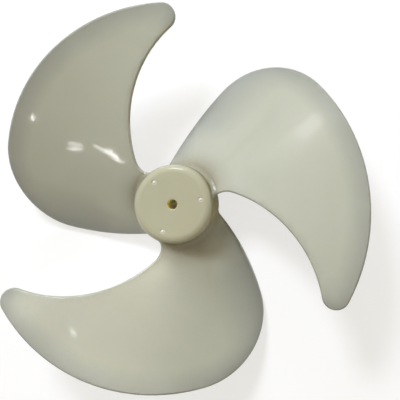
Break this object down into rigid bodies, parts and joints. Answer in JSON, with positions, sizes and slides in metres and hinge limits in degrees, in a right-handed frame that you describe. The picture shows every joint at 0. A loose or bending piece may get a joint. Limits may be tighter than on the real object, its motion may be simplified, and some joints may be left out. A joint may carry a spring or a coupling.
{
  "type": "axial fan blade",
  "caption": "Moulded plastic axial fan blade with broad forward-swept twisted blades, an open-backed cup hub and a slit collet that grips a motor shaft.",
  "frame": {"origin": "on the fan's axis at the collet's mouth, where the motor shaft enters the boss from the open back of the hub", "axes": "+Z along the shaft bore towards the hub's closed front; seen from the front, one blade's leading tip lies close to +Y"},
  "size_m": [0.1149, 0.1183, 0.0364],
  "materials": {
    "ivory_plastic": "glossy moulded ivory plastic, slightly milky"
  },
  "bodies": {
    "root": {"fan_blade": "ivory_plastic"}
  },
  "joints": []
}
